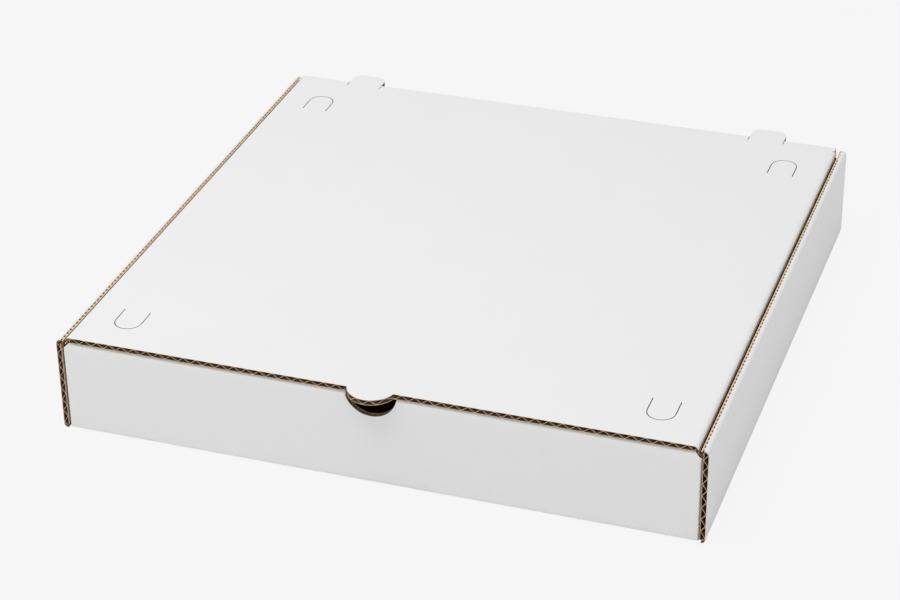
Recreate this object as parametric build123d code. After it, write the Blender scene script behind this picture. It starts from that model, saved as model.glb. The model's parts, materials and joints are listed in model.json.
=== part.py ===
from build123d import *
import os
from math import cos, hypot, radians, sin, tan

# A take-away pizza box folded from one die-cut blank of white-faced corrugated board.
# The tray and the lid are the same sheet, joined by the crease along the top of the
# rear wall. They are two solids here because the lid turns about that crease.
# Millimetres, +Z up, front at -Y, origin under the middle of the box.

# Board
board = 2.8              # thickness of the corrugated board
fold_radius = 2.2        # outside rounding of a square fold
layer_gap = 0.2          # air between two layers that are folded against each other
cut_gap = 0.3            # kerf and play between neighbouring cut edges

# Tray
width = 330.0            # outside, left to right
depth = 318.0            # outside, front to back
wall_height = 50.0       # front and rear walls
side_rise = 1.2          # rolled side walls stand this much higher, to flank the lid
corner_chamfer = 3.6     # slanted ends of the front and rear walls' top edges
roll_squeeze = 1.0       # the crushed crease of a rolled top edge takes off this much width
roll_taper = 4.0         # below the rolled top, the board regains its thickness over this height
hem_length = 22.0        # how far the front wall's folded hem hangs down inside

# Corner flaps, which run back from the front and rear walls inside the side walls
flap_length = 75.0
flap_drop = 14.0         # below the wall's top, where the rolled panel covers the flap
flap_neck_drop = 4.0     # below the wall's top, beside the corner fold
flap_taper = 6.0         # narrowing of the flap's free end, top and bottom

# Lock tabs under the rolled panels, and their slots in the base
tab_length = 28.0
tab_spacing = 150.0
tab_recess = 0.3         # how far a tab's end stays above the underside

# Thumb notch in the front wall
notch_radius = 13.3
notch_rise = 1.7         # its centre lies this far above the wall's top
notch_relief = 4.5       # the hem is cut back this much further than the wall

# Lid
lid_gap = 0.3            # play between the closed lid and the walls it lies on
lid_side_gap = 0.3       # play between the lid's fold and the rolled side walls
lid_flap_length = 38.0   # side flaps, tucked inside the tray
lid_flap_lean = 16.0     # degrees from upright, leaning in from the walls
lid_flap_setback = 10.0  # from the lid's front edge and rear crease to the flaps' ends
lid_flap_taper = 12.0    # slant of the flaps' ends
tongue_radius = 12.2
tongue_reach = 9.0       # how far the tongue stands out in front of the wall

# Ears, cut out of the rear wall and left in the plane of the lid
ear_spacing = 240.0
ear_width = 19.4
ear_reach = 9.0          # how far an ear stands out behind the wall
ear_corner = 5.0
ear_root = 8.0           # overlap of the ear with the lid panel, in front of the crease
ear_play = 0.4           # round the ear as it swings through its window

# Crease between the rear wall and the lid
crease_slant = 48.0      # degrees that each side of the crushed crease slopes away

# Four U-shaped knife cuts in the lid
cut_spacing_x = 272.6    # between the centres of the left and right cuts
cut_width = 13.9
cut_length = 17.8        # from the open ends to the tip of the U
cut_kerf = 0.4
cut_front_margin = 16.6  # from the lid's front edge to the tip of a front cut
cut_rear_margin = 24.8   # from the rear wall's outer face to the tip of a rear cut

# Places that follow from the sizes above
half_width = width / 2
half_depth = depth / 2
side_height = wall_height + side_rise
flap_height = wall_height - flap_drop
flap_neck_height = wall_height - flap_neck_drop
side_inner = half_width - board              # inner face of a side wall
end_inner = half_depth - board               # inner face of the front or rear wall
end_half = side_inner - layer_gap            # half the length of the front and rear walls
roll_radius = board + (layer_gap - roll_squeeze) / 2  # outside of a board rolled over
roll_x = half_width - roll_radius            # middle of a side wall's rolled top
roll_y = half_depth - roll_radius            # middle of the front wall's rolled top
roll_z = side_height - roll_radius
flap_inner = end_half - board                # inner face of a corner flap
panel_outer = flap_inner - layer_gap         # rolled panel, where it covers the flap
panel_inner = panel_outer - board
hem_y = end_inner - layer_gap - board        # inner face of the front wall's hem
panel_end = hem_y - cut_gap                  # half the length of a rolled panel
lid_bottom = wall_height + lid_gap
lid_top = lid_bottom + board
hinge_y = end_inner
hinge_z = lid_bottom


def prism_x(outline, x0, x1):
    """Extrudes an outline of (y, z) points from x0 to x1."""
    face = make_face(Polyline(*outline, close=True))
    return Pos(x0, 0, 0) * extrude(Plane.YZ * face, x1 - x0)


def prism_y(outline, y0, y1):
    """Extrudes an outline of (x, z) points from y0 to y1."""
    face = make_face(Polyline(*outline, close=True))
    return Pos(0, y1, 0) * extrude(Plane.XZ * face, y1 - y0)


def block(x0, x1, y0, y1, z0, z1):
    """Makes a box from its limits."""
    size = (x1 - x0, y1 - y0, z1 - z0)
    return Pos(x0, y0, z0) * Box(*size, align=(Align.MIN, Align.MIN, Align.MIN))


def both_sides(shape):
    """Adds the mirror image across the middle of the box's width."""
    return shape + mirror(shape, about=Plane.YZ)


def both_ends(shape):
    """Adds the mirror image across the middle of the box's depth."""
    return shape + mirror(shape, about=Plane.XZ)


def rolled_wall(face, inner, top):
    """Section of a wall with its face at face, as (across, z), and its rolled top edge.

    The rolled top is a half ring of crushed board. Below it the board's inner face
    slants back to inner, where the wall has its full thickness again.
    """
    middle = face - roll_radius
    ring = Circle(roll_radius) - Circle(layer_gap / 2)
    upper = Pos(0, roll_radius) * Rectangle(2 * roll_radius, 2 * roll_radius)
    wall = Polyline(
        (face, 0), (face, top), (middle + layer_gap / 2, top),
        (inner, top - roll_taper), (inner, 0),
        close=True,
    )
    return make_face(wall) + Pos(middle, top) * (ring & upper)


def base_and_end_walls():
    """Base panel with the front and rear walls folded up from it."""
    section = Pos(0, board / 2) * Rectangle(depth, board)
    front = rolled_wall(half_depth, end_inner, wall_height - roll_radius)
    section += mirror(front, about=Plane.YZ)
    section += Pos(half_depth - board / 2, wall_height / 2) * Rectangle(board, wall_height)
    heels = section.vertices().group_by(Axis.Y)[0]
    section = fillet(heels, fold_radius)
    sheet = Pos(-end_half, 0, 0) * extrude(Plane.YZ * section, 2 * end_half)

    # Rounded upright folds at the four corners, and slanted ends of the top edges.
    plan = RectangleRounded(2 * end_half, depth, fold_radius)
    front_view = Polyline(
        (-end_half, 0),
        (-end_half, wall_height - corner_chamfer),
        (-end_half + corner_chamfer, wall_height),
        (end_half - corner_chamfer, wall_height),
        (end_half, wall_height - corner_chamfer),
        (end_half, 0),
        close=True,
    )
    upright = extrude(plan, wall_height)
    slanted = Pos(0, half_depth, 0) * extrude(Plane.XZ * make_face(front_view), depth)
    return sheet & upright & slanted


def front_hem():
    """Free part of the front wall's hem, hanging down inside from its rolled top."""
    hem_half = flap_inner - cut_gap
    top = wall_height - roll_radius
    low = top - hem_length
    hem = prism_x(
        [(-roll_y + layer_gap / 2, top), (-hem_y - board, top - roll_taper),
         (-hem_y - board, low), (-hem_y, low), (-hem_y, top - roll_taper),
         (-roll_y + roll_radius, top)],
        -hem_half, hem_half,
    )
    relief_radius = notch_radius + notch_relief
    relief = Rot(90, 0, 0) * Cylinder(relief_radius, depth)
    relief = Pos(0, 0, wall_height + notch_rise) * relief
    return hem - (relief & block(-width, width, -depth, 0, 0, top))


def side_wall():
    """Right side wall: outer panel, rolled top edge and the panel rolled down inside."""
    section = rolled_wall(half_width, side_inner, roll_z)
    heel = section.vertices().group_by(Axis.Y)[0].sort_by(Axis.X)[-1]
    section = fillet(heel, fold_radius)
    wall = Pos(0, half_depth, 0) * extrude(Plane.XZ * section, depth)

    # The rolled edge stops short of the slanted ends of the front and rear walls.
    slant = end_half + wall_height - corner_chamfer + cut_gap / cos(radians(45))
    clear = prism_y(
        [(flap_inner - board, 0), (roll_x, 0), (roll_x, slant - roll_x),
         (flap_inner - board, slant - flap_inner + board)],
        -half_depth, -panel_end,
    )
    wall -= both_ends(clear)

    # From the rolled edge the panel slopes in over the corner flaps, then drops plumb.
    gap = layer_gap / 2
    panel = prism_y(
        [(roll_x - gap, roll_z), (panel_outer, flap_height),
         (panel_outer, board + layer_gap), (panel_inner, board + layer_gap),
         (panel_inner, flap_height), (roll_x - roll_radius, roll_z)],
        -panel_end, panel_end,
    )
    tab = block(panel_inner, panel_outer,
                (tab_spacing - tab_length) / 2, (tab_spacing + tab_length) / 2,
                tab_recess, board + layer_gap)
    return wall + panel + both_ends(tab)


def corner_flap():
    """Right front corner flap, folded back from the end of the front wall."""
    start = -end_inner
    neck = -panel_end - cut_gap
    end = -half_depth + flap_length
    low = board + layer_gap
    return prism_x(
        [(start - board / 2, low), (start - board / 2, flap_neck_height),
         (neck, flap_neck_height), (neck, flap_height), (end, flap_height - flap_taper),
         (end, low + flap_taper), (end - flap_taper, low)],
        flap_inner, end_half,
    )


def tab_slot():
    """Slot in the base that takes one lock tab of the right side."""
    return block(panel_inner - layer_gap, panel_outer + layer_gap,
                 (tab_spacing - tab_length) / 2 - cut_gap,
                 (tab_spacing + tab_length) / 2 + cut_gap,
                 -board, board + layer_gap / 2)


def thumb_notch():
    """Half-moon cut through the front wall and its rolled top."""
    cut = Rot(90, 0, 0) * Cylinder(notch_radius, 2 * (half_depth - hem_y) + board)
    return Pos(0, -half_depth, wall_height + notch_rise) * cut


def ear_window():
    """Hole that the right ear leaves in the rear wall, with room for it to swing."""
    reach = hypot(ear_reach + board, board) + ear_play
    half = ear_width / 2 + ear_play
    tall = 2 * reach
    hole = Plane.XZ * RectangleRounded(2 * half, tall, ear_corner + ear_play)
    hole = extrude(hole, 2 * board)
    return Pos(ear_spacing / 2, half_depth + board / 2, hinge_z) * hole


def make_tray():
    """The whole tray: base, four walls, hem, corner flaps and rolled panels."""
    tray = base_and_end_walls()
    tray += block(-side_inner, side_inner, -end_inner, end_inner, 0, board)
    tray += front_hem()
    tray += both_ends(both_sides(corner_flap()))
    tray -= both_sides(both_ends(tab_slot()))
    tray += both_sides(side_wall())
    tray -= thumb_notch()

    # The crushed crease slopes away from the hinge line on the outside.
    drop = board * tan(radians(crease_slant))
    tray -= prism_x(
        [(hinge_y, wall_height), (half_depth + board, wall_height - 2 * drop),
         (half_depth + board, lid_top), (hinge_y, lid_top)],
        -end_half, end_half,
    )
    return tray - both_sides(ear_window())


def lid_section():
    """Section of the lid with its two side flaps, as an (x, z) face."""
    lean = radians(lid_flap_lean)
    # The side fold's outermost point keeps its play from the rolled wall.
    fold_offset = fold_radius * ((1 + sin(lean)) / cos(lean) - 1)
    shoulder = roll_x - roll_radius - lid_side_gap + fold_offset
    flap_dx = lid_flap_length * sin(lean)
    flap_dz = lid_flap_length * cos(lean)
    inner = shoulder - (board + board * sin(lean)) / cos(lean)
    tip_x = shoulder - flap_dx
    tip_z = lid_top - flap_dz
    points = [
        (-shoulder, lid_top), (shoulder, lid_top), (tip_x, tip_z),
        (tip_x - board * cos(lean), tip_z + board * sin(lean)), (inner, lid_bottom),
        (-inner, lid_bottom), (-tip_x + board * cos(lean), tip_z + board * sin(lean)),
        (-tip_x, tip_z),
    ]
    section = make_face(Polyline(*points, close=True))
    shoulders = section.vertices().group_by(Axis.Y)[-1]
    return fillet(shoulders, fold_radius)


def flap_end():
    """Room at the front end of the side flaps, clear of the front wall's hem."""
    low = lid_bottom - lid_flap_length
    setback = -half_depth + lid_flap_setback
    return prism_x(
        [(-half_depth - board, lid_bottom), (setback, lid_bottom),
         (setback + lid_flap_taper, low), (-half_depth - board, low)],
        -half_width, half_width,
    )


def knife_cut(tip_y, toward):
    """Right-hand U-shaped cut whose tip is at tip_y and points along +Y or -Y."""
    radius = cut_width / 2
    leg = cut_length - radius
    middle = tip_y - toward * radius
    kerf = Circle(radius + cut_kerf / 2) - Circle(radius - cut_kerf / 2)
    kerf &= Pos(0, toward * radius) * Rectangle(2 * cut_width, 2 * radius)
    for side in (-1, 1):
        kerf += Pos(side * radius, -toward * leg / 2) * Rectangle(cut_kerf, leg)
    slit = extrude(Pos(cut_spacing_x / 2, middle) * kerf, 3 * board)
    return Pos(0, 0, lid_bottom - board) * slit


def ear():
    """Right ear, from the lid out through the rear crease."""
    root = hinge_y - ear_root
    length = half_depth + ear_reach - root
    outline = Pos(0, root) * Rectangle(ear_width, length, align=(Align.CENTER, Align.MIN))
    tips = outline.vertices().group_by(Axis.Y)[-1]
    outline = fillet(tips, ear_corner)
    return Pos(ear_spacing / 2, 0, lid_bottom) * extrude(outline, board)


def make_lid():
    """Lid panel with side flaps, tongue, ears and the four knife cuts."""
    length = half_depth + hinge_y
    lid = Pos(0, hinge_y, 0) * extrude(Plane.XZ * lid_section(), length)
    lid -= both_ends(flap_end())
    run = board / tan(radians(90 - crease_slant))
    lid -= prism_x(
        [(hinge_y, lid_bottom), (hinge_y - 2 * run, lid_bottom + 2 * board),
         (hinge_y + board, lid_bottom + 2 * board), (hinge_y + board, lid_bottom)],
        -half_width, half_width,
    )
    lid += both_sides(ear())
    tongue_y = -half_depth - tongue_reach + tongue_radius
    lid += Pos(0, tongue_y, lid_bottom + board / 2) * Cylinder(tongue_radius, board)
    lid -= both_sides(knife_cut(-half_depth + cut_front_margin, -1))
    lid -= both_sides(knife_cut(half_depth - cut_rear_margin, 1))
    return lid


os.makedirs("parts", exist_ok=True)
for name, shape in (("tray", make_tray()), ("lid", make_lid())):
    solids = shape.solids()
    print(name, len(solids), "solid", round(sum(s.volume for s in solids)), "mm3")
    export_step(shape, f"parts/{name}.step")
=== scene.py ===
"""A take-away pizza box of white-faced corrugated board, built ply by ply.

The board is three plies: a white outer liner, a waved medium (the fluting) and a brown
inner liner. Every part of the box is a strip of that board folded along a path. A point
of the board lies at a length along the path, at a place across the strip, and at a share
of the way from the board's outer face to its inner face.
"""

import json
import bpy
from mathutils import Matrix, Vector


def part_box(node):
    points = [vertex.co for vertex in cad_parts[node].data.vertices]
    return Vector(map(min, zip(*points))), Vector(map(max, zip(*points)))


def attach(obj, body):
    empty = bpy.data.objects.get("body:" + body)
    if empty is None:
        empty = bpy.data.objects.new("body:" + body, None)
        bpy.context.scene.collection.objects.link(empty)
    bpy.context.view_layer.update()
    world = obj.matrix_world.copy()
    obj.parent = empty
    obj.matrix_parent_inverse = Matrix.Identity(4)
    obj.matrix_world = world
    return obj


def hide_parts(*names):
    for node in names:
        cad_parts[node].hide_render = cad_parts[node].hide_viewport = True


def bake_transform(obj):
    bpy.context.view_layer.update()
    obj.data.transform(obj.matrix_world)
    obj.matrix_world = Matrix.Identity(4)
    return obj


bl_info = {
    "name": "Corrugated Pizza Box",
    "version": (1, 0, 0),
    "blender": (4, 5, 0),
    "location": "3D View > Sidebar > Pizza Box",
    "description": "Tray, hinged lid and rear crease of a take-away box, in three-ply corrugated board",
    "category": "Add Mesh",
}

from math import cos, pi, radians, sin, tan

import bmesh
import bpy
import numpy as np
from mathutils import Matrix, Vector

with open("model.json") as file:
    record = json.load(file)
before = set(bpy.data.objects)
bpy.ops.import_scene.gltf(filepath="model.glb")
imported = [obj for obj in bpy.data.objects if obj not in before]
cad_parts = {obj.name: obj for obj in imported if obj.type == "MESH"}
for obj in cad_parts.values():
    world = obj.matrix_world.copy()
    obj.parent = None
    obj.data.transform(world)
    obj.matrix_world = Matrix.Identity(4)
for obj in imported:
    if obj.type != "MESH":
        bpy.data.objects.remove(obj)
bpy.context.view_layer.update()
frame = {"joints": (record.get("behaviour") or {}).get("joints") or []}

MM = 0.001
ARC_STEPS = 6  # steps in each rounded fold
FLUTE_STEPS = 12  # steps in each wave of the medium
LEAST_STEP = 1 / 3  # of a flute step: closer to a wanted place, an even step gives way
THIRD_WAVE = 1 / 14  # share of the medium's third harmonic, which straightens its flanks
MERGE_DISTANCE = 0.5e-6
CLOSE = 1e-9  # lengths nearer than this are the same
SHARP_ANGLE = radians(38)
SIDE_STRIP = 5 * MM  # outer strip of the base, modelled with the side walls
LEVEL_MARGIN = 4 * MM  # the lid's faces lie over each other from this far inside its edge
FOLD_EASE = 1 * MM  # rounding of a slight bend
FLAP_START = 0.75  # of the thickness: how far below the lid's face its side flaps start
OUTWARD, INWARD, CUT = range(3)  # which side of a ply a face is on
BARE_ROWS = 6  # cells across the bare strip of a side crease
DASH_ROWS = slice(1, 4)  # those of them that a dash cuts away
BARE_DEPTHS = (0.10, 0.22)  # where the bare strip lies in the board's thickness

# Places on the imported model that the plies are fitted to, in millimetres
tray_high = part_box("tray")[1] / MM
lid_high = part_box("lid")[1] / MM
hinge = [value / MM for value in frame["joints"][0]["pos_m"]]


def length(name, default, text):
    """A size in millimetres, kept as a Blender distance."""
    return bpy.props.FloatProperty(
        name=name, description=text, default=float(default) * MM,
        subtype="DISTANCE", unit="LENGTH", precision=5,
    )


def colour(name, default, text):
    """A surface colour."""
    return bpy.props.FloatVectorProperty(
        name=name, description=text, default=default, size=3, min=0.0, max=1.0, subtype="COLOR",
    )


class PIZZABOX_PG_board(bpy.types.PropertyGroup):
    """The corrugated board and its folds"""

    thickness: length("Thickness", lid_high.z - hinge[2], "Thickness of the whole board")
    liner: length("Liner", 0.2, "Thickness of each liner")
    medium: length("Medium", 0.24, "Thickness of the waved medium, across the board")
    pitch: length("Flute pitch", 6.61, "Distance from one flute to the next")
    fold: length("Fold radius", 2.2, "Outside rounding of a square fold")
    crush: length("Crush radius", 0.15, "Inside rounding of a fold")
    layer_gap: length("Layer gap", 0.2, "Air between two layers folded against each other")
    cut_gap: length("Cut gap", 0.3, "Play between neighbouring cut edges")


class PIZZABOX_PG_tray(bpy.types.PropertyGroup):
    """The tray's own sizes"""

    half_width: length("Half width", tray_high.x, "Middle to the side wall's outer face")
    half_depth: length("Half depth", tray_high.y, "Middle to the rear wall's outer face")
    wall_height: length("Wall height", hinge[2] - 0.3, "Front and rear walls")
    side_height: length("Side height", tray_high.z, "Rolled side walls")
    roll: length("Roll radius", 2.4, "Outside radius of a rolled top edge")
    roll_taper: length("Roll taper", 4.0, "Height over which the crushed board regains its thickness")
    corner_play: length("Corner play", 0.3, "More air between a side wall and the end walls' corners")
    corner_fold: length("Corner rounding", 1.3, "Outside rounding of the upright corner folds")
    chamfer: length("Corner slant", 3.6, "Slanted ends of the front and rear walls' top edges")
    hem: length("Hem", 22.0, "Length of the front wall's hem inside")
    flap_reach: length("Flap length", 75.0, "Corner flaps, from the wall's face")
    flap_drop: length("Flap drop", 14.0, "Corner flaps below the wall's top")
    neck_drop: length("Neck drop", 4.0, "Corner flaps below the wall's top, beside the fold")
    flap_taper: length("Flap taper", 6.0, "Narrowing of a flap's free end")
    tab: length("Tab length", 28.0, "Lock tabs under the rolled panels")
    tab_spacing: length("Tab spacing", 150.0, "Between the tabs of one side")
    tab_recess: length("Tab recess", 0.3, "Between a tab's end and the underside")
    notch: length("Notch radius", 13.3, "Thumb notch in the front wall")
    notch_rise: length("Notch rise", 1.7, "Notch centre above the wall's top")
    notch_relief: length("Notch relief", 4.5, "The hem is cut back this much further")
    window: length("Window play", 0.4, "Play round an ear in the rear wall")
    dash: length("Perforation", 1.7, "Length of each cut, and of each bridge, of a side crease")
    bare_lap: length("Bare lap", 0.15, "The crease's bare strip starts this far under the outer liner")
    bare_share: bpy.props.FloatProperty(
        name="Bare share", description="Share of the roll's inner quarter that is bare", default=0.42)
    slit_share: bpy.props.FloatProperty(
        name="Slit share", description="Share of the roll's inner quarter where the crease is parted",
        default=0.85)


class PIZZABOX_PG_lid(bpy.types.PropertyGroup):
    """The lid's own sizes"""

    half_width: length("Half width", lid_high.x, "Middle to the side fold's outermost point")
    top: length("Top", lid_high.z, "Height of the lid's outer face")
    hinge_y: length("Hinge line", hinge[1], "Middle to the hinge line")
    flap: length("Flap length", 38.0, "Side flaps tucked inside the tray")
    flap_setback: length("Flap setback", 10.0, "From the lid's ends to the flaps' ends")
    flap_taper: length("Flap taper", 12.0, "Slant of the flaps' ends")
    tongue: length("Tongue radius", 12.2, "Round tongue at the front")
    reach: length("Reach", lid_high.y - tray_high.y, "How far the tongue and ears stand out")
    ear_spacing: length("Ear spacing", 240.0, "Between the middles of the ears")
    ear_width: length("Ear width", 19.4, "Width of an ear")
    ear_corner: length("Ear corner", 5.0, "Rounding of an ear's corners")
    cut_spacing: length("Cut spacing", 272.6, "Between the left and right knife cuts")
    cut_width: length("Cut width", 13.9, "Width of a U-shaped cut")
    cut_length: length("Cut length", 17.8, "From a cut's open end to its tip")
    kerf: length("Kerf", 0.5, "Width of the knife's slit")
    cut_front: length("Front margin", 16.6, "Lid's front edge to a front cut's tip")
    cut_rear: length("Rear margin", 24.8, "Rear wall's face to a rear cut's tip")
    lean: bpy.props.FloatProperty(
        name="Flap lean", description="How far the side flaps lean in from upright",
        default=radians(16.0), subtype="ANGLE",
    )
    slant: bpy.props.FloatProperty(
        name="Crease slant", description="Slope of each side of the crushed rear crease",
        default=radians(48.0), subtype="ANGLE",
    )


class PIZZABOX_PG_finish(bpy.types.PropertyGroup):
    """Colours and grain of the papers"""

    white: colour("White face", (0.86, 0.86, 0.862), "Coated outer face")
    kraft: colour("Brown face", (0.50, 0.37, 0.26), "Unbleached inner liner")
    # Medium: darker than the kraft, partly the paper's own brown and partly painted shade of the flutes'
    # hollows
    medium: colour("Medium", (0.27, 0.165, 0.092), "Waved medium and the liners' glued sides")
    edge: colour("Cut edge", (0.76, 0.57, 0.39), "Cut and torn edges of the plies")
    floor: colour("Floor", (0.925, 0.925, 0.925), "Studio floor")
    fibre: bpy.props.FloatProperty(
        name="Fibre size", description="Scale of the paper's fibres, per metre", default=2600.0,
    )


class PIZZABOX_PG_stage(bpy.types.PropertyGroup):
    """Floor, light and camera"""

    floor_half: bpy.props.FloatProperty(
        name="Floor half size", description="Middle of the floor to its edge", default=6.0, unit="LENGTH")
    shadow: bpy.props.FloatProperty(
        name="Shadow share", description="How much of the floor's own shading is seen", default=0.05)
    floor_albedo: bpy.props.FloatProperty(
        name="Floor albedo", description="How much light the floor gives back, of its seen tone",
        default=0.97)
    sky: bpy.props.FloatProperty(
        name="Sky strength", description="Strength of the light from all round", default=0.66)
    key: bpy.props.FloatProperty(name="Key power", description="Watts of the soft main light", default=7.1)
    key_size: bpy.props.FloatProperty(
        name="Key size", description="Width of the soft main light", default=0.9, unit="LENGTH")
    key_place: bpy.props.FloatVectorProperty(
        name="Key place", description="Where the soft main light hangs", size=3,
        default=(-0.3, -0.36, 1.35), subtype="TRANSLATION")
    camera_place: bpy.props.FloatVectorProperty(
        name="Camera", description="Where the camera stands", size=3,
        default=(0.37791, -1.12634, 0.70365), subtype="TRANSLATION")
    camera_turn: bpy.props.FloatProperty(
        name="Turn", description="Camera's turn to the left of the box's depth axis",
        default=radians(19.211), subtype="ANGLE")
    camera_tilt: bpy.props.FloatProperty(
        name="Tilt", description="Camera's tilt up from looking straight down",
        default=radians(59.891), subtype="ANGLE")
    camera_roll: bpy.props.FloatProperty(
        name="Roll", description="Camera's roll about its own axis",
        default=radians(-0.793), subtype="ANGLE")
    lens: bpy.props.FloatProperty(name="Lens", description="Focal length in millimetres", default=103.36)


def settings():
    """The sizes and colours that the panel shows."""
    scene = bpy.context.scene
    return scene.pizzabox_board, scene.pizzabox_tray, scene.pizzabox_lid, scene.pizzabox_finish


# ---------------------------------------------------------------- folded board

def folded_path(start, corners, end):
    """Straight runs joined by arcs, as (n, 2) points.

    Each corner is (across, up, radius). The arc touches both runs: its centre lies on the
    corner's bisector, and its points turn evenly from the first run's normal to the
    second's. A corner that doesn't turn repeats its point, so that two paths with as many
    corners have matching points.
    """
    places = np.array([start, *[corner[:2] for corner in corners], end], float)
    runs = np.diff(places, axis=0)
    runs /= np.linalg.norm(runs, axis=1)[:, None]
    pieces = [places[:1]]
    for place, radius, before, after in zip(places[1:-1], [c[2] for c in corners], runs, runs[1:]):
        turn = np.arctan2(before[0] * after[1] - before[1] * after[0], before @ after)
        if abs(turn) < 1e-6 or radius == 0:
            pieces.append(np.repeat(place[None], ARC_STEPS + 1, axis=0))
            continue
        side = np.sign(turn)
        normal = side * np.array([-before[1], before[0]])
        centre = place - before * radius * tan(abs(turn) / 2) + normal * radius
        angles = np.linspace(0, turn, ARC_STEPS + 1)
        spoke = -normal * radius
        arc = np.stack([
            spoke[0] * np.cos(angles) - spoke[1] * np.sin(angles),
            spoke[0] * np.sin(angles) + spoke[1] * np.cos(angles),
        ], axis=1)
        pieces.append(centre + arc)
    pieces.append(places[-1:])
    return np.concatenate(pieces)


class Fold:
    """A board's path: matching points of its outer and inner faces, and the length along it."""

    def __init__(self, outer, inner):
        self.outer = folded_path(*outer)
        self.inner = folded_path(*inner)
        middle = (self.outer + self.inner) / 2
        steps = np.linalg.norm(np.diff(middle, axis=0), axis=1)
        self.length = np.concatenate([[0], np.cumsum(steps)])

    def corner(self, number):
        """First and last length of a corner's arc."""
        first = 1 + number * (ARC_STEPS + 1)
        return self.length[first], self.length[first + ARC_STEPS]

    def point(self, at, depth):
        """(across, up) at a length, depth of the way from the outer to the inner face."""
        faces = [
            [np.interp(at, self.length, face[:, axis]) for axis in (0, 1)]
            for face in (self.outer, self.inner)
        ]
        return [out + (into - out) * depth for out, into in zip(*faces)]

    def where(self, axis, value, low, high):
        """Length at which the outer face reaches a value, between two lengths."""
        inside = (self.length >= low - CLOSE) & (self.length <= high + CLOSE)
        values, lengths = self.outer[inside, axis], self.length[inside]
        if values[0] > values[-1]:
            values, lengths = values[::-1], lengths[::-1]
        return np.interp(value, values, lengths)


def shell(face, back, solid):
    """Closed shell between two (n, m, 3) grids of points, over the cells that are solid.

    Each solid cell gives a face on both grids, and each edge of a solid cell whose
    neighbour isn't solid gives a cut face between them.
    """
    n, m = face.shape[:2]
    index = np.arange(n * m).reshape(n, m)
    i, j = np.nonzero(solid)
    a, b, c, d = index[i, j], index[i + 1, j], index[i + 1, j + 1], index[i, j + 1]
    around = np.pad(solid, 1)
    rims = [
        (a, b, around[i + 1, j]), (b, c, around[i + 2, j + 1]),
        (c, d, around[i + 1, j + 2]), (d, a, around[i, j + 1]),
    ]
    under = n * m
    faces = [np.stack([a, b, c, d], 1), np.stack([d, c, b, a], 1) + under]
    for start, end, neighbour in rims:
        p, q = start[~neighbour], end[~neighbour]
        faces.append(np.stack([q, p, p + under, q + under], 1))
    sides = np.full(sum(len(part) for part in faces), CUT)
    sides[:2 * len(a)] = np.repeat([OUTWARD, INWARD], len(a))
    faces = np.concatenate(faces)
    points = np.concatenate([face.reshape(-1, 3), back.reshape(-1, 3)])
    corners = points[faces]
    volume = sum(
        np.einsum("ij,ij->i", corners[:, 0], np.cross(corners[:, k], corners[:, k + 1])).sum()
        for k in (1, 2)
    )
    if volume < 0:
        faces = faces[:, ::-1]
    return points, faces, sides


def mirrored(part, axis):
    """The mirror image of a shell across the middle of the box, still facing outwards."""
    points, faces, sides = part
    flipped = points.copy()
    flipped[:, axis] *= -1
    return flipped, faces[:, ::-1], sides


def make_piece(name, parts, body, materials):
    """Joins shells into one mesh object, merges doubled points and shades it by angle.

    The three materials are those of the outward faces, the inward faces and the cut edges.
    """
    counts = np.cumsum([0] + [len(part[0]) for part in parts])
    points = np.concatenate([part[0] for part in parts])
    faces = np.concatenate([part[1] + count for part, count in zip(parts, counts)])
    sides = np.concatenate([part[2] for part in parts])
    mesh = bpy.data.meshes.new(name)
    mesh.from_pydata(points.tolist(), [], faces.tolist())
    for material in materials:
        mesh.materials.append(material)
    mesh.polygons.foreach_set("material_index", sides.astype(np.int32))
    work = bmesh.new()
    work.from_mesh(mesh)
    bmesh.ops.remove_doubles(work, verts=work.verts, dist=MERGE_DISTANCE)
    work.to_mesh(mesh)
    work.free()
    mesh.polygons.foreach_set("use_smooth", np.ones(len(mesh.polygons), bool))
    mesh.set_sharp_from_angle(angle=SHARP_ANGLE)
    piece = bpy.data.objects.new(name, mesh)
    bpy.context.scene.collection.objects.link(piece)
    if body:
        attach(piece, body)
    return piece


def wave(along, board):
    """Depth share of the medium's middle: a sine with straightened flanks, between the liners."""
    swing = (board.thickness - 2 * board.liner - board.medium) / 2 / board.thickness
    angle = 2 * pi * along / board.pitch
    return 0.5 + swing * (np.sin(angle) - THIRD_WAVE * np.sin(3 * angle)) / (1 + THIRD_WAVE)


def plies(board, along):
    """Depth shares of the two faces of each ply; the medium's follow its wave."""
    thin = board.liner / board.thickness
    half = board.medium / board.thickness / 2
    middle = wave(along, board)
    return {
        "outer": (0.0, thin),
        "medium": (middle - half, middle + half),
        "inner": (1 - thin, 1.0),
    }


def samples(low, high, board, *places):
    """Places from low to high at every step of a flute, with the given places among them."""
    count = int(np.ceil((high - low) / board.pitch * FLUTE_STEPS))
    spread = np.linspace(low, high, count + 1)
    places = np.array(sorted({*places, low, high}))
    nearest = np.abs(spread[:, None] - places[None]).min(1)
    clear = nearest > board.pitch / FLUTE_STEPS * LEAST_STEP
    return np.sort(np.concatenate([spread[clear], places]))


def middles(values):
    """Middles of the cells between values."""
    return (values[:-1] + values[1:]) / 2


# ---------------------------------------------------------------- tray

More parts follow.
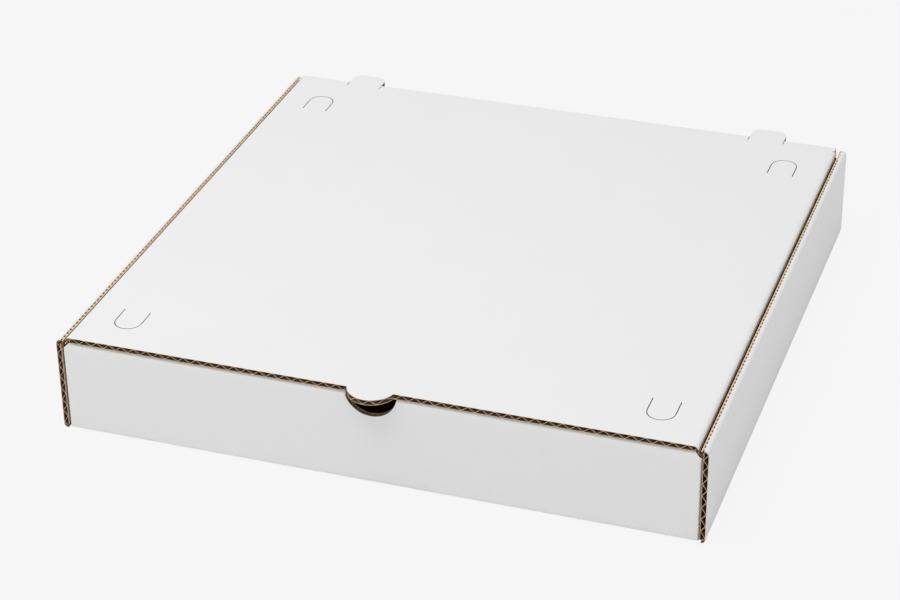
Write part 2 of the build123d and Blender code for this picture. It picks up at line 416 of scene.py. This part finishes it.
def end_wall_fold(board, tray, lid):
    """Path of the strip with the front hem, front wall, base and rear wall, as (y, z)."""
    t, y, r = board.thickness, tray.half_depth, tray.roll
    hem_y = y - 2 * t - board.layer_gap
    roll_top = tray.wall_height - r
    taper = roll_top - tray.roll_taper
    gap = board.layer_gap / 2
    level = tray.wall_height - SIDE_STRIP  # the two faces' points are level up to here
    low = roll_top - tray.hem
    outer = (
        (-hem_y, low),
        [(-hem_y, taper, FOLD_EASE), (-y + 2 * r, tray.wall_height, r), (-y, tray.wall_height, r),
         (-y, taper, 0), (-y, 0, board.fold), (y, 0, board.fold), (y, level, 0)],
        (y, tray.wall_height - t * tan(lid.slant)),
    )
    inner = (
        (-hem_y - t, low),
        [(-hem_y - t, taper, FOLD_EASE), (-y + r + gap, roll_top + gap, gap),
         (-y + r - gap, roll_top + gap, gap), (-y + t, taper, 0),
         (-y + t, t, board.crush), (y - t, t, board.crush), (y - t, level, 0)],
        (y - t, tray.wall_height),
    )
    return Fold(outer, inner)


def end_walls(board, tray, lid):
    """Shells of the strip from the front hem to the rear wall, one for each ply.

    The strip's columns run from left to right. A column's rows follow the path, cut back
    where the thumb notch, the hem's relief, the slanted corners and the ears' windows are.
    """
    fold = end_wall_fold(board, tray, lid)
    end_half = tray.half_width - board.thickness - board.layer_gap - tray.corner_play
    slant_x = end_half - tray.chamfer
    hem_half = end_half - board.thickness - board.cut_gap
    base_half = tray.half_width - SIDE_STRIP
    rise = tray.notch_rise
    notch_half = (tray.notch ** 2 - rise ** 2) ** 0.5
    relief = tray.notch + tray.notch_relief
    relief_half = (relief ** 2 - (rise + tray.roll) ** 2) ** 0.5
    ear_x = lid.ear_spacing / 2
    window_half = lid.ear_width / 2 + tray.window
    window_corner = lid.ear_corner + tray.window
    swing = np.hypot(lid.reach + board.thickness, board.thickness) + tray.window
    marks = [notch_half, relief_half, slant_x, hem_half, base_half,
             ear_x - window_half, ear_x + window_half,
             ear_x - window_half + window_corner, ear_x + window_half - window_corner]
    x = samples(-end_half, end_half, board, *marks, *[-mark for mark in marks])
    ax = np.abs(x)

    # Lengths at which the columns are cut
    roll_in, top = fold.corner(1)
    heel = fold.corner(4)[0]
    middle_top = (top + fold.corner(2)[0]) / 2
    slant_z = tray.wall_height - np.maximum(ax - slant_x, 0)
    notch_z = tray.wall_height + rise - np.sqrt(np.maximum(tray.notch ** 2 - ax ** 2, 0))
    front_z = np.where(ax < notch_half, np.minimum(notch_z, tray.wall_height), slant_z)
    front_cut = fold.where(1, front_z, fold.corner(2)[0], heel)
    front_cut = np.where(front_z >= tray.wall_height, middle_top, front_cut)
    back_cut = fold.where(1, slant_z, roll_in, top)
    back_cut = np.where(slant_z >= tray.wall_height, middle_top, np.maximum(back_cut, roll_in))
    hem_z = tray.wall_height + rise - np.sqrt(np.maximum(relief ** 2 - ax ** 2, 0))
    hem_cut = np.where(ax < relief_half, fold.where(1, hem_z, 0, roll_in), roll_in)
    dx = np.abs(ax - ear_x)
    corner_dx = np.clip(dx - window_half + window_corner, 0, window_corner)
    sill_z = hinge_height(lid, board) - swing + window_corner - np.sqrt(window_corner ** 2 - corner_dx ** 2)
    sill = fold.where(1, sill_z, fold.corner(5)[1], fold.corner(6)[0])
    rear_cut = fold.length[-1] - np.maximum(ax - slant_x, 0)

    # Rows: hem, inner half of the roll, outer half of the roll with wall, base and rear wall
    knots = np.unique(fold.length.round(9))
    hem_rows = np.minimum(knots[knots <= roll_in + CLOSE][None], hem_cut[:, None])
    back_rows = np.minimum(
        np.append(knots[(knots >= roll_in) & (knots < middle_top)], middle_top)[None], back_cut[:, None])
    on_walls = (knots > middle_top) & (knots < fold.corner(6)[0] - FOLD_EASE)
    wall_knots = np.insert(knots[on_walls], 0, middle_top)
    wall_rows = np.maximum(wall_knots[None], front_cut[:, None])
    rear_rows = np.stack([sill, np.full_like(x, fold.corner(6)[0]), rear_cut], 1)
    rear_rows[:, 1] = np.minimum(rear_rows[:, 1], rear_cut)
    rows = np.concatenate([hem_rows, back_rows, wall_rows, rear_rows], 1)
    nh, nb, nw = hem_rows.shape[1], back_rows.shape[1], wall_rows.shape[1]

    solid = np.ones((len(x) - 1, rows.shape[1] - 1), bool)
    mid = np.abs(middles(x))
    solid[mid > hem_half, :nh] = False
    solid[mid < relief_half, nh - 1] = False
    solid[mid < notch_half, nh:nh + nb] = False
    solid[mid > slant_x, nh + nb - 1] = False
    on_base = (wall_knots > fold.corner(4)[1] - CLOSE) & (wall_knots < fold.corner(5)[0] + CLOSE)
    base = np.nonzero(on_base)[0]
    solid[mid > base_half, nh + nb + base[0]:nh + nb + base[-1]] = False
    solid[np.abs(mid - ear_x) < window_half, nh + nb + nw:] = False

    # The upright folds at the corners round off the outer face
    into_fold = np.maximum(ax - end_half + tray.corner_fold, 0)
    rounding = tray.corner_fold - np.sqrt(tray.corner_fold ** 2 - into_fold ** 2)

    def grid(depth):
        depth = np.broadcast_to(np.asarray(depth, float).reshape(-1, 1), (len(x), 1))
        y, z = fold.point(rows, depth)
        on_wall = np.abs(y) > tray.half_depth - 2 * board.thickness
        y = y - np.sign(y) * on_wall * (1 - depth) * rounding[:, None]
        return np.stack([np.broadcast_to(x[:, None], y.shape), y, z], -1)

    return {ply: [shell(grid(a), grid(b), solid)] for ply, (a, b) in plies(board, x).items()}


def hinge_height(lid, board):
    """Height of the hinge line, which is the lid's inner face."""
    return lid.top - board.thickness


def side_walls(board, tray):
    """Shells of both side walls: outer panel, rolled top, inner panel and lock tabs.

    The rows follow the path up the wall and down inside, and the columns run from front
    to rear. The flutes run along the wall, so the medium's wave follows the path. The
    perforated crease along the roll parts the outer liner and shows the brown board.
    """
    t, x, r = board.thickness, tray.half_width, tray.roll
    gap = board.layer_gap / 2
    roll_z = tray.side_height - r
    taper = roll_z - tray.roll_taper
    flap_inner = x - 2 * t - board.layer_gap
    panel_x = flap_inner - board.layer_gap
    flap_z = tray.wall_height - tray.flap_drop
    start_x = x - SIDE_STRIP
    slot_z = t + board.layer_gap
    fold = Fold(
        ((start_x, 0), [(x, 0, board.fold), (x, taper, 0), (x, tray.side_height, r),
                        (x - 2 * r, tray.side_height, r), (panel_x - t, flap_z, FOLD_EASE),
                        (panel_x - t, slot_z, 0)], (panel_x - t, tray.tab_recess)),
        ((start_x, t), [(x - t, t, board.crush), (x - t, taper, 0), (x - r + gap, roll_z + gap, gap),
                        (x - r - gap, roll_z + gap, gap), (panel_x, flap_z, FOLD_EASE),
                        (panel_x, slot_z, 0)], (panel_x, tray.tab_recess)),
    )
    hem_y = tray.half_depth - 2 * t - board.layer_gap
    panel_end = hem_y - board.cut_gap
    tab_low, tab_high = (tray.tab_spacing - tray.tab) / 2, (tray.tab_spacing + tray.tab) / 2
    ends = [tray.half_depth, tray.half_depth - t, panel_end, tab_low, tab_high]
    y = np.array(sorted([*ends, *[-end for end in ends]]))
    heel = fold.corner(0)[0]
    roll_middle, roll_end = fold.corner(2)[1], fold.corner(3)[1]
    slit_end = roll_middle + (roll_end - roll_middle) * tray.slit_share
    tab_start = fold.corner(5)[0]
    marks = np.unique(fold.length.round(9))
    s = samples(0, fold.length[-1], board, *marks, slit_end)
    mid_s, mid_y = middles(s)[:, None], np.abs(middles(y))[None]
    solid = np.ones((len(s) - 1, len(y) - 1), bool)
    solid &= ~((mid_s < heel) & (mid_y > tray.half_depth - t))
    solid &= ~((mid_s > roll_end) & (mid_y > panel_end))
    solid &= ~((mid_s > tab_start) & ~((mid_y > tab_low) & (mid_y < tab_high)))
    parted = (mid_s > roll_middle) & (mid_s < slit_end)

    def grid(at, across, depth):
        depth = np.asarray(depth, float)
        px, pz = fold.point(at, depth)
        px, pz = (np.broadcast_to(p.reshape(-1, 1), (len(at), len(across))) for p in (px, pz))
        return np.stack([px, np.broadcast_to(across[None], px.shape), pz], -1)

    shells = {}
    for ply, (a, b) in plies(board, s).items():
        # Where the crease is parted, the inner liner's glued side shows in the medium's dark brown, partly
        # painted shade of the gap
        cells = solid if ply == "inner" else solid & ~parted
        right = shell(grid(s, y, a), grid(s, y, b), cells)
        shells[ply] = [right, mirrored(right, 0)]

    # Torn brown paper in the parted crease: a strip with every second length cut out as a dash
    count = int(tray.half_depth / tray.dash)
    dashes = np.linspace(-tray.half_depth, tray.half_depth, 2 * count + 1)
    bare_end = roll_middle + (roll_end - roll_middle) * tray.bare_share
    strip = np.linspace(roll_middle - tray.bare_lap, bare_end, BARE_ROWS + 1)
    bare = np.ones((len(strip) - 1, len(dashes) - 1), bool)
    bare[DASH_ROWS, ::2] = False
    points, faces, sides = shell(*(grid(strip, dashes, depth) for depth in BARE_DEPTHS), bare)
    core = points, faces, np.full_like(sides, CUT)
    shells["medium"] += [core, mirrored(core, 0)]
    return shells


def corner_flaps(board, tray):
    """Shells of the four corner flaps, which run back from the walls' ends.

    The columns run along the flap and the rows go up it. Its flutes stand upright.
    """
    t = board.thickness
    outer_x = tray.half_width - t - board.layer_gap - tray.corner_play
    start = -tray.half_depth + tray.corner_fold
    end = -tray.half_depth + tray.flap_reach
    neck = -tray.half_depth + 2 * t + board.layer_gap + 2 * board.cut_gap
    low = t + board.layer_gap
    y = samples(start, end, board, neck, end - tray.flap_taper)
    top = tray.wall_height - tray.flap_drop - tray.flap_taper * np.maximum(y - neck, 0) / (end - neck)
    bottom = low + np.maximum(y - end + tray.flap_taper, 0)
    rows = np.stack([bottom, top, np.full_like(y, tray.wall_height - tray.neck_drop)], 1)
    solid = np.ones((len(y) - 1, 2), bool)
    solid[middles(y) > neck, 1] = False

    def grid(depth):
        x = outer_x - t * np.broadcast_to(np.asarray(depth, float).reshape(-1, 1), rows.shape)
        return np.stack([x, np.broadcast_to(y[:, None], rows.shape), rows], -1)

    shells = {}
    for ply, (a, b) in plies(board, y).items():
        flap = shell(grid(a), grid(b), solid)
        pair = [flap, mirrored(flap, 0)]
        shells[ply] = pair + [mirrored(part, 1) for part in pair]
    return shells


# ---------------------------------------------------------------- lid

def lid_fold(board, lid):
    """Path of the lid from one side flap's tip over the panel to the other's, as (x, z)."""
    t, lean = board.thickness, lid.lean
    shoulder = lid.half_width + board.fold * ((1 + sin(lean)) / cos(lean) - 1)
    tip = (shoulder - lid.flap * sin(lean), lid.top - lid.flap * cos(lean))
    inside = shoulder - t * (1 + sin(lean)) / cos(lean)
    inner_tip = (tip[0] - t * cos(lean), tip[1] + t * sin(lean))
    level = lid.half_width - LEVEL_MARGIN
    outer = (
        (-tip[0], tip[1]),
        [(-shoulder, lid.top, board.fold), (-level, lid.top, 0), (level, lid.top, 0),
         (shoulder, lid.top, board.fold)],
        tip,
    )
    inner = (
        (-inner_tip[0], inner_tip[1]),
        [(-inside, lid.top - t, board.crush), (-level, lid.top - t, 0), (level, lid.top - t, 0),
         (inside, lid.top - t, board.crush)],
        inner_tip,
    )
    return Fold(outer, inner)


def lid_panel(board, tray, lid):
    """Shells of the lid, one for each ply.

    The columns follow the path from side to side, and the rows run from front to rear:
    the tongue's arc, the front edge, the arcs and legs of the front and rear knife cuts,
    the crease and the ears' tips. A knife cut is the cells between its two arcs and in
    its two legs, left out.
    """
    fold = lid_fold(board, lid)
    t, front = board.thickness, -tray.half_depth
    tongue_y = front - lid.reach + lid.tongue
    tongue_half = (lid.tongue ** 2 - (tongue_y - front) ** 2) ** 0.5
    ear_x, ear_half = lid.ear_spacing / 2, lid.ear_width / 2
    ear_tip = tray.half_depth + lid.reach
    cut_x, radius = lid.cut_spacing / 2, lid.cut_width / 2
    near, far = radius - lid.kerf / 2, radius + lid.kerf / 2
    edges = [tongue_half, ear_x - ear_half, ear_x + ear_half,
             ear_x - ear_half + lid.ear_corner, ear_x + ear_half - lid.ear_corner,
             cut_x - far, cut_x - near, cut_x + near, cut_x + far]
    first, last = fold.corner(1)[0], fold.corner(2)[0]
    marks = [fold.where(0, value, first, last) for edge in edges for value in (edge, -edge)]
    knots = np.unique(fold.length.round(9))
    s = samples(0, fold.length[-1], board, *knots, *marks)
    ax = np.abs(fold.point(s, 0.5)[0])
    dx = np.abs(ax - cut_x)
    ear_dx = np.clip(np.abs(ax - ear_x) - ear_half + lid.ear_corner, 0, lid.ear_corner)

    outer_arc = np.sqrt(np.maximum(far ** 2 - dx ** 2, 0))
    inner_arc = np.sqrt(np.maximum(near ** 2 - dx ** 2, 0))
    leg = lid.cut_length - radius
    front_mid = front + lid.cut_front + radius
    rear_mid = tray.half_depth - lid.cut_rear - radius
    tongue_row = tongue_y - np.sqrt(np.maximum(lid.tongue ** 2 - ax ** 2, (tongue_y - front) ** 2))
    flat = np.ones_like(s)
    run = t * tan(lid.slant)

    def rows_at(depth):
        drop = np.maximum(lid.top - fold.point(s, 0.0)[1], 0)
        eased = (drop / t - FLAP_START) / (1 - FLAP_START)
        setback = lid.flap_setback * np.clip(eased, 0, 1)
        inset = setback + lid.flap_taper * np.maximum(drop - t, 0) / lid.flap
        crease = lid.hinge_y - run * (1 - np.asarray(depth, float))
        on_flap = setback > CLOSE
        edge = np.where(on_flap, front + inset, front)
        rear = np.where(on_flap, np.minimum(crease, -front - inset), crease)
        return np.stack([
            np.where(on_flap, edge, tongue_row), edge,
            front_mid - outer_arc, front_mid - inner_arc, front_mid * flat, (front_mid + leg) * flat,
            (rear_mid - leg) * flat, rear_mid * flat, rear_mid + inner_arc, rear_mid + outer_arc,
            rear, ear_tip - lid.ear_corner + np.sqrt(lid.ear_corner ** 2 - ear_dx ** 2),
        ], 1)

    solid = np.ones((len(s) - 1, 11), bool)
    mid = np.abs(fold.point(middles(s), 0.5)[0])
    solid[mid > tongue_half, 0] = False
    solid[np.abs(mid - ear_x) > ear_half, 10] = False
    in_cut = np.abs(mid - cut_x) < far
    in_leg = in_cut & (np.abs(mid - cut_x) > near)
    solid[in_cut, 2] = False
    solid[in_cut, 8] = False
    for row in (3, 4, 6, 7):
        solid[in_leg, row] = False

    def grid(depth):
        depth = np.broadcast_to(np.asarray(depth, float), s.shape)
        px, pz = fold.point(s, depth)
        y = rows_at(depth)
        return np.stack([np.broadcast_to(p[:, None], y.shape) if k != 1 else y
                         for k, p in enumerate((px, None, pz))], -1)

    return {ply: [shell(grid(a), grid(b), solid)] for ply, (a, b) in plies(board, s).items()}


# ---------------------------------------------------------------- rear crease

def crease_strips(board, tray, lid):
    """Shells of the crushed crease, in three strips between and beside the ears.

    The outer face rounds over from the rear wall to the lid, and the inner face stays at
    the hinge line.
    """
    t, y = board.thickness, tray.half_depth
    run = t * tan(lid.slant)
    low, high = tray.wall_height, lid.top - t
    fold = Fold(
        ((y, low - t * tan(lid.slant)), [(y, lid.top, board.fold)], (lid.hinge_y - run, lid.top)),
        ((lid.hinge_y, low), [(lid.hinge_y + board.crush, (low + high) / 2, board.crush / 2)],
         (lid.hinge_y, high)),
    )
    window = lid.ear_width / 2 + tray.window
    inside, outside = lid.ear_spacing / 2 - window, lid.ear_spacing / 2 + window
    end = tray.half_width - 2 * t - board.cut_gap
    rows = fold.length
    thin = board.liner / t
    shells = {"outer": [], "core": []}
    for low_x, high_x in ((-end, -outside), (-inside, inside), (outside, end)):
        x = np.linspace(low_x, high_x, 2 + int((high_x - low_x) / board.pitch))

        def grid(depth):
            py, pz = fold.point(rows, depth)
            shape = (len(x), len(rows))
            return np.stack([np.broadcast_to(x[:, None], shape), np.broadcast_to(py, shape),
                             np.broadcast_to(pz, shape)], -1)

        solid = np.ones((len(x) - 1, len(rows) - 1), bool)
        shells["outer"].append(shell(grid(0.0), grid(thin), solid))
        shells["core"].append(shell(grid(thin), grid(1.0), solid))
    return shells


# ---------------------------------------------------------------- papers

def socket(group, name, kind, way, value=None):
    """One named socket of a node group."""
    made = group.interface.new_socket(name=name, in_out=way, socket_type=kind)
    if value is not None:
        made.default_value = value
    return made


def paper_group():
    """Node group for pressed paper fibres: a fine felt, longer fibres and faint clouding."""
    found = bpy.data.node_groups.get("Paper Fibres")
    if found:
        return found
    group = bpy.data.node_groups.new("Paper Fibres", "ShaderNodeTree")
    socket(group, "Colour", "NodeSocketColor", "INPUT", (0.8, 0.8, 0.8, 1))
    socket(group, "Fibre Scale", "NodeSocketFloat", "INPUT", 2600.0)
    socket(group, "Fleck", "NodeSocketFloat", "INPUT", 0.1)
    socket(group, "Clouding", "NodeSocketFloat", "INPUT", 0.03)
    socket(group, "Colour", "NodeSocketColor", "OUTPUT")
    socket(group, "Height", "NodeSocketFloat", "OUTPUT")
    nodes, links = group.nodes, group.links
    enter, leave = nodes.new("NodeGroupInput"), nodes.new("NodeGroupOutput")
    place = nodes.new("ShaderNodeTexCoord")
    stretch = nodes.new("ShaderNodeMapping")
    stretch.inputs["Scale"].default_value = (1.0, 0.22, 1.0)
    fibres, felt, cloud = (nodes.new("ShaderNodeTexNoise") for _ in range(3))
    links.new(place.outputs["Object"], stretch.inputs["Vector"])
    links.new(stretch.outputs["Vector"], fibres.inputs["Vector"])
    links.new(place.outputs["Object"], felt.inputs["Vector"])
    links.new(place.outputs["Object"], cloud.inputs["Vector"])
    links.new(enter.outputs["Fibre Scale"], felt.inputs["Scale"])
    fibres.inputs["Scale"].default_value = 900.0
    fibres.inputs["Detail"].default_value = 3.0
    felt.inputs["Detail"].default_value = 2.0
    cloud.inputs["Scale"].default_value = 28.0
    cloud.inputs["Detail"].default_value = 4.0

    def math(operation, first, second):
        node = nodes.new("ShaderNodeMath")
        node.operation = operation
        for slot_number, value in enumerate((first, second)):
            if isinstance(value, bpy.types.NodeSocket):
                links.new(value, node.inputs[slot_number])
            else:
                node.inputs[slot_number].default_value = value
        return node.outputs[0]

    fleck = math("MULTIPLY", math("SUBTRACT", fibres.outputs["Fac"], 0.5), enter.outputs["Fleck"])
    mottle = math("MULTIPLY", math("SUBTRACT", cloud.outputs["Fac"], 0.5), enter.outputs["Clouding"])
    value = math("ADD", math("ADD", fleck, mottle), 1.0)
    tint = nodes.new("ShaderNodeHueSaturation")
    links.new(enter.outputs["Colour"], tint.inputs["Color"])
    links.new(value, tint.inputs["Value"])
    links.new(tint.outputs["Color"], leave.inputs["Colour"])
    links.new(math("ADD", felt.outputs["Fac"], fibres.outputs["Fac"]), leave.inputs["Height"])
    return group


def flute_show_group():
    """Node group for the faint stripes that the flutes press into a liner, across X."""
    found = bpy.data.node_groups.get("Flute Show Through")
    if found:
        return found
    group = bpy.data.node_groups.new("Flute Show Through", "ShaderNodeTree")
    socket(group, "Pitch", "NodeSocketFloat", "INPUT", 0.0066)
    socket(group, "Height", "NodeSocketFloat", "OUTPUT")
    nodes, links = group.nodes, group.links
    enter, leave = nodes.new("NodeGroupInput"), nodes.new("NodeGroupOutput")
    place, split = nodes.new("ShaderNodeTexCoord"), nodes.new("ShaderNodeSeparateXYZ")
    turns, circle, stripe = (nodes.new("ShaderNodeMath") for _ in range(3))
    turns.operation, circle.operation, stripe.operation = "DIVIDE", "MULTIPLY", "SINE"
    circle.inputs[1].default_value = 2 * pi
    links.new(place.outputs["Object"], split.inputs["Vector"])
    links.new(split.outputs["X"], turns.inputs[0])
    links.new(enter.outputs["Pitch"], turns.inputs[1])
    links.new(turns.outputs[0], circle.inputs[0])
    links.new(circle.outputs[0], stripe.inputs[0])
    links.new(stripe.outputs[0], leave.inputs["Height"])
    return group


def paper(name, tone, fleck, clouding, roughness, bump, stripes=0.0):
    """A paper surface: fibre colour and fibre bump, with the flutes showing if asked for."""
    found = bpy.data.materials.get(name)
    if found:
        return found
    board, _, _, finish = settings()
    material = bpy.data.materials.new(name)
    material.use_nodes = True
    nodes, links = material.node_tree.nodes, material.node_tree.links
    shader = nodes["Principled BSDF"]
    shader.inputs["Roughness"].default_value = roughness
    shader.inputs["Specular IOR Level"].default_value = 0.35
    fibres = nodes.new("ShaderNodeGroup")
    fibres.node_tree = paper_group()
    fibres.inputs["Colour"].default_value = (*tone, 1)
    fibres.inputs["Fibre Scale"].default_value = finish.fibre
    fibres.inputs["Fleck"].default_value = fleck
    fibres.inputs["Clouding"].default_value = clouding
    grain = nodes.new("ShaderNodeBump")
    grain.inputs["Strength"].default_value = bump
    grain.inputs["Distance"].default_value = 0.00005
    links.new(fibres.outputs["Colour"], shader.inputs["Base Color"])
    links.new(fibres.outputs["Height"], grain.inputs["Height"])
    if stripes:
        show = nodes.new("ShaderNodeGroup")
        show.node_tree = flute_show_group()
        show.inputs["Pitch"].default_value = board.pitch
        press = nodes.new("ShaderNodeBump")
        press.inputs["Strength"].default_value = stripes
        press.inputs["Distance"].default_value = 0.00002
        links.new(show.outputs["Height"], press.inputs["Height"])
        links.new(press.outputs["Normal"], grain.inputs["Normal"])
    links.new(grain.outputs["Normal"], shader.inputs["Normal"])
    return material


def white_paper():
    """Coated white face of the outer liner."""
    return paper("white_liner", settings()[3].white, fleck=0.02, clouding=0.02,
                 roughness=0.62, bump=0.25, stripes=0.35)


def kraft_paper():
    """Unbleached inner liner, which is the box's inside."""
    return paper("kraft_liner", settings()[3].kraft, fleck=0.5, clouding=0.16,
                 roughness=0.85, bump=0.8, stripes=0.8)


def medium_paper_with_painted_shade():
    """The medium's paper and the liners' glued sides, a darker brown than the kraft: partly the paper's own
    brown, partly painted shade of the hollows inside the flutes.
    """
    return paper("kraft_medium_painted_shade", settings()[3].medium, fleck=0.6, clouding=0.2,
                 roughness=0.9, bump=0.9)


def cut_edge():
    """The pale, torn fibres of every cut edge."""
    return paper("kraft_cut_edge", settings()[3].edge, fleck=0.5, clouding=0.2,
                 roughness=0.9, bump=0.9)


# ---------------------------------------------------------------- operators

def make_plies(prefix, shells, body, node):
    """The outer liner, medium and inner liner of one body, as three pieces."""
    # core is the medium's dark brown; on the liners' glued sides it partly paints the shade inside the
    # flutes
    core, cut = medium_paper_with_painted_shade(), cut_edge()
    outer = make_piece(prefix + "_outer_liner", shells["outer"], body,
                       [white_paper(), core, cut])
    make_piece(prefix + "_fluting", shells["medium"], body, [core, core, cut])
    make_piece(prefix + "_inner_liner", shells["inner"], body,
               [core, kraft_paper(), cut])
    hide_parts(node)


class PIZZABOX_OT_tray(bpy.types.Operator):
    """Build the tray's three plies: walls, base, hem, corner flaps and rolled panels"""

    bl_idname = "pizzabox.tray"
    bl_label = "Tray"

    def execute(self, context):
        board, tray, lid, _ = settings()
        parts = [end_walls(board, tray, lid), side_walls(board, tray), corner_flaps(board, tray)]
        shells = {ply: [part for group in parts for part in group[ply]] for ply in parts[0]}
        make_plies("tray", shells, "tray", "tray")
        return {"FINISHED"}


class PIZZABOX_OT_lid(bpy.types.Operator):
    """Build the lid's three plies: panel, side flaps, tongue, ears and knife cuts"""

    bl_idname = "pizzabox.lid"
    bl_label = "Lid"

    def execute(self, context):
        board, tray, lid, _ = settings()
        make_plies("lid", lid_panel(board, tray, lid), "lid", "lid")
        return {"FINISHED"}


class PIZZABOX_OT_crease(bpy.types.Operator):
    """Build the crushed crease that joins the rear wall to the lid"""

    bl_idname = "pizzabox.crease"
    bl_label = "Rear crease"

    def execute(self, context):
        board, tray, lid, _ = settings()
        shells = crease_strips(board, tray, lid)
        face = make_piece("crease_outer_liner", shells["outer"], None,
                          [white_paper(), kraft_paper(), cut_edge()])
        core = make_piece("crease_core", shells["core"], None,
                          [kraft_paper(), kraft_paper(), cut_edge()])
        for piece in (face, core):
            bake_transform(piece)
        return {"FINISHED"}


class PIZZABOX_OT_stage(bpy.types.Operator):
    """Set up the pale floor, the soft light and the camera"""

    bl_idname = "pizzabox.stage"
    bl_label = "Stage"

    def execute(self, context):
        scene = context.scene
        stage = scene.pizzabox_stage
        self.make_floor(scene, stage)
        world = bpy.data.worlds.new("Studio")
        world.use_nodes = True
        background = world.node_tree.nodes["Background"]
        background.inputs["Color"].default_value = (1, 1, 1, 1)
        background.inputs["Strength"].default_value = stage.sky
        scene.world = world
        lamp = bpy.data.lights.new("Key", "AREA")
        lamp.shape = "DISK"
        lamp.size = stage.key_size
        lamp.energy = stage.key
        key = bpy.data.objects.new("Key", lamp)
        aim = (-Vector(stage.key_place)).to_track_quat("-Z", "Y").to_matrix().to_4x4()
        key.matrix_world = Matrix.Translation(stage.key_place) @ aim
        scene.collection.objects.link(key)
        camera = bpy.data.objects.new("Camera", bpy.data.cameras.new("Camera"))
        camera.data.lens = stage.lens
        turned = Matrix.Rotation(stage.camera_turn, 4, "Z") @ Matrix.Rotation(stage.camera_tilt, 4, "X")
        camera.matrix_world = (
            Matrix.Translation(stage.camera_place) @ turned @ Matrix.Rotation(stage.camera_roll, 4, "Z")
        )
        scene.collection.objects.link(camera)
        scene.camera = camera
        scene.view_settings.view_transform = "Standard"
        return {"FINISHED"}

    def make_floor(self, scene, stage):
        """A level floor, which the camera sees mostly as an even pale tone with a light shadow."""
        half = stage.floor_half
        mesh = bpy.data.meshes.new("floor")
        mesh.from_pydata([(-half, -half, 0), (half, -half, 0), (half, half, 0), (-half, half, 0)],
                         [], [(0, 1, 2, 3)])
        floor = bpy.data.objects.new("floor", mesh)
        scene.collection.objects.link(floor)
        tone = settings()[3].floor
        material = bpy.data.materials.new("floor")
        material.use_nodes = True
        nodes, links = material.node_tree.nodes, material.node_tree.links
        shader = nodes["Principled BSDF"]
        shader.inputs["Base Color"].default_value = (*[stage.floor_albedo * c for c in tone], 1)
        shader.inputs["Roughness"].default_value = 0.9
        glow = nodes.new("ShaderNodeEmission")
        glow.inputs["Color"].default_value = (*tone, 1)
        rays, share, mix = (nodes.new(kind) for kind in (
            "ShaderNodeLightPath", "ShaderNodeMath", "ShaderNodeMixShader"))
        share.operation = "MULTIPLY"
        share.inputs[1].default_value = 1 - stage.shadow
        links.new(rays.outputs["Is Camera Ray"], share.inputs[0])
        links.new(share.outputs[0], mix.inputs["Fac"])
        links.new(shader.outputs["BSDF"], mix.inputs[1])
        links.new(glow.outputs["Emission"], mix.inputs[2])
        links.new(mix.outputs["Shader"], nodes["Material Output"].inputs["Surface"])
        mesh.materials.append(material)


class PIZZABOX_PT_panel(bpy.types.Panel):
    """The box's pieces and sizes"""

    bl_label = "Pizza Box"
    bl_idname = "PIZZABOX_PT_panel"
    bl_space_type = "VIEW_3D"
    bl_region_type = "UI"
    bl_category = "Pizza Box"

    def draw(self, context):
        layout = self.layout
        for operator in OPERATORS:
            layout.operator(operator.bl_idname)
        for name, group in GROUPS.items():
            box = layout.box()
            box.label(text=name.title())
            for item in group.__annotations__:
                box.prop(getattr(context.scene, "pizzabox_" + name), item)


GROUPS = {
    "board": PIZZABOX_PG_board,
    "tray": PIZZABOX_PG_tray,
    "lid": PIZZABOX_PG_lid,
    "finish": PIZZABOX_PG_finish,
    "stage": PIZZABOX_PG_stage,
}
OPERATORS = (PIZZABOX_OT_tray, PIZZABOX_OT_lid, PIZZABOX_OT_crease, PIZZABOX_OT_stage)


def register():
    """Registers the classes and hangs the settings on the scene."""
    for item in (*GROUPS.values(), *OPERATORS, PIZZABOX_PT_panel):
        bpy.utils.register_class(item)
    for name, group in GROUPS.items():
        setattr(bpy.types.Scene, "pizzabox_" + name, bpy.props.PointerProperty(type=group))


def unregister():
    """Takes the settings and the classes away again."""
    for name in GROUPS:
        delattr(bpy.types.Scene, "pizzabox_" + name)
    for item in reversed((*GROUPS.values(), *OPERATORS, PIZZABOX_PT_panel)):
        bpy.utils.unregister_class(item)


def main():
    register()
    bpy.ops.pizzabox.tray()
    bpy.ops.pizzabox.lid()
    bpy.ops.pizzabox.crease()
    bpy.ops.pizzabox.stage()


if __name__ == "__main__":
    main()
